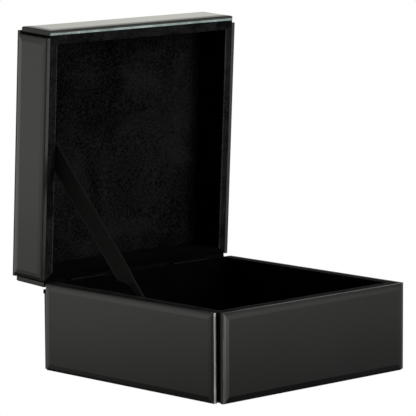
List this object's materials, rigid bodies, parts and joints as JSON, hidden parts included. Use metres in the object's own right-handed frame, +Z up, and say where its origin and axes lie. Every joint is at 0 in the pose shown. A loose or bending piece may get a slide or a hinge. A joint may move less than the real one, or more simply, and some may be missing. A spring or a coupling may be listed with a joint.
{
  "type": "vanity trinket box",
  "caption": "Square black bevelled-glass trinket box, velvet lined, with its hinged lid held open by a ribbon stay.",
  "frame": {"origin": "middle of the base's footprint, on the plane that the felt underside rests on", "axes": "+Z up, front faces -Y, the hinges are along X at the back (+Y); the lid is stored open"},
  "size_m": [0.14, 0.1661, 0.185],
  "materials": {
    "black_glass": "polished",
    "painted_board": "satin",
    "velvet_lining": "matte",
    "velvet_pad": "matte",
    "velvet_rim": "matte",
    "ribbon": "matte",
    "felt": "matte",
    "hinge_steel": "satin"
  },
  "bodies": {
    "base": {"base_floor_board": "painted_board", "base_front_board": "painted_board", "base_back_board": "painted_board", "base_left_board": "painted_board", "base_right_board": "painted_board", "base_front_glass": "black_glass", "base_back_glass": "black_glass", "base_left_glass": "black_glass", "base_right_glass": "black_glass", "base_rear_trim": "painted_board", "base_front_lining": "velvet_lining", "base_back_lining": "velvet_lining", "base_left_lining": "velvet_lining", "base_right_lining": "velvet_lining", "base_floor_pad": "velvet_pad", "base_rim_velvet": "velvet_rim", "base_felt": "felt", "left_hinge_base_leaf": "hinge_steel", "right_hinge_base_leaf": "hinge_steel", "left_hinge_pin": "hinge_steel", "right_hinge_pin": "hinge_steel", "base_hinge_screws": "hinge_steel", "lid_stay_ribbon": "ribbon"},
    "lid": {"lid_top_board": "painted_board", "lid_front_board": "painted_board", "lid_back_board": "painted_board", "lid_left_board": "painted_board", "lid_right_board": "painted_board", "lid_top_glass": "black_glass", "lid_front_glass": "black_glass", "lid_back_glass": "black_glass", "lid_left_glass": "black_glass", "lid_right_glass": "black_glass", "lid_front_lining": "velvet_lining", "lid_back_lining": "velvet_lining", "lid_left_lining": "velvet_lining", "lid_right_lining": "velvet_lining", "lid_top_pad": "velvet_pad", "lid_rim_velvet": "velvet_rim", "left_hinge_lid_leaf": "hinge_steel", "right_hinge_lid_leaf": "hinge_steel", "lid_hinge_screws": "hinge_steel"}
  },
  "joints": [
    {"name": "lid_hinge", "type": "hinge", "parent": "base", "child": "lid", "pos_m": [0, 0.0673, 0.04675], "axis": [1, 0, 0], "range_deg": [0, 87], "deforming": ["lid_stay_ribbon"]}
  ]
}
